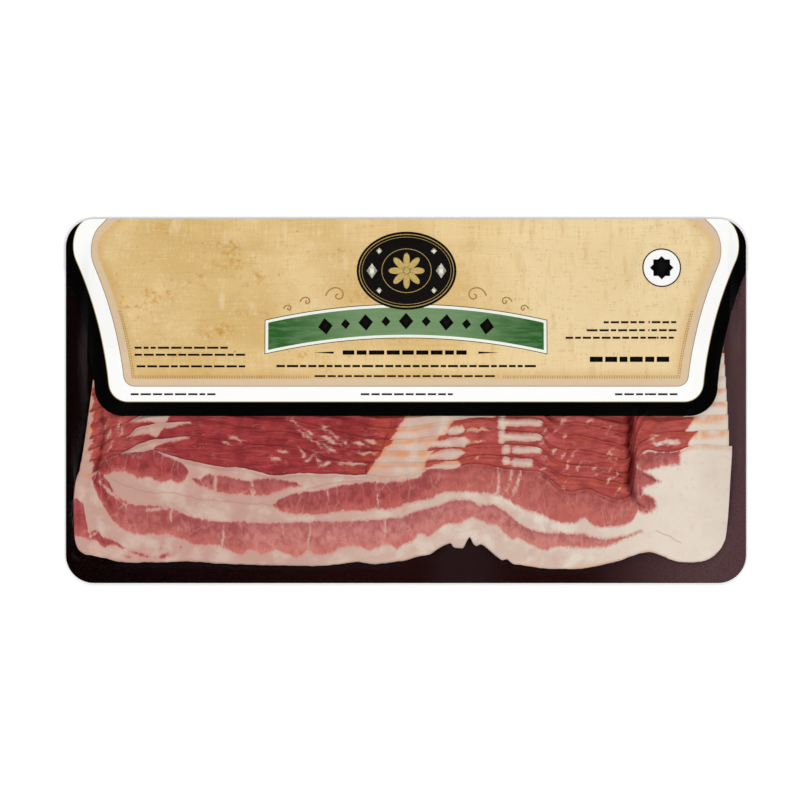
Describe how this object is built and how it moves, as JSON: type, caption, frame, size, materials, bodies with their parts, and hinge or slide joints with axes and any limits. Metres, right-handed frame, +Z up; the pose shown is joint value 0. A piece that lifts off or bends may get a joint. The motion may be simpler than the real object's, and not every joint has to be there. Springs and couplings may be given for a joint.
{
  "type": "bacon pack",
  "caption": "Flat vacuum pack of shingled bacon slices on a dark backing board, under clear film, with a printed label over its back half.",
  "frame": {"origin": "middle of the pack's underside, where the backing board rests", "axes": "+X along the slices, to the end with the broad cream fat; +Y to the pack's back edge, where the label is; +Z up, out of the face with the label"},
  "size_m": [0.254, 0.136, 0.0193],
  "materials": {
    "board": "dark coated board, satin",
    "bacon": "moist raw cured meat, lean streaked with cream fat",
    "film": "clear glossy film",
    "label": "smooth printed label, parchment, white and black"
  },
  "bodies": {
    "root": {"backing_board": "board", "bacon_slice_1": "bacon", "bacon_slice_2": "bacon", "bacon_slice_3": "bacon", "bacon_slice_4": "bacon", "bacon_slice_5": "bacon", "bacon_slice_6": "bacon", "bacon_slice_7": "bacon", "bacon_slice_8": "bacon", "hidden_bacon_stack": "bacon", "clear_film": "film", "label": "label"}
  },
  "joints": []
}
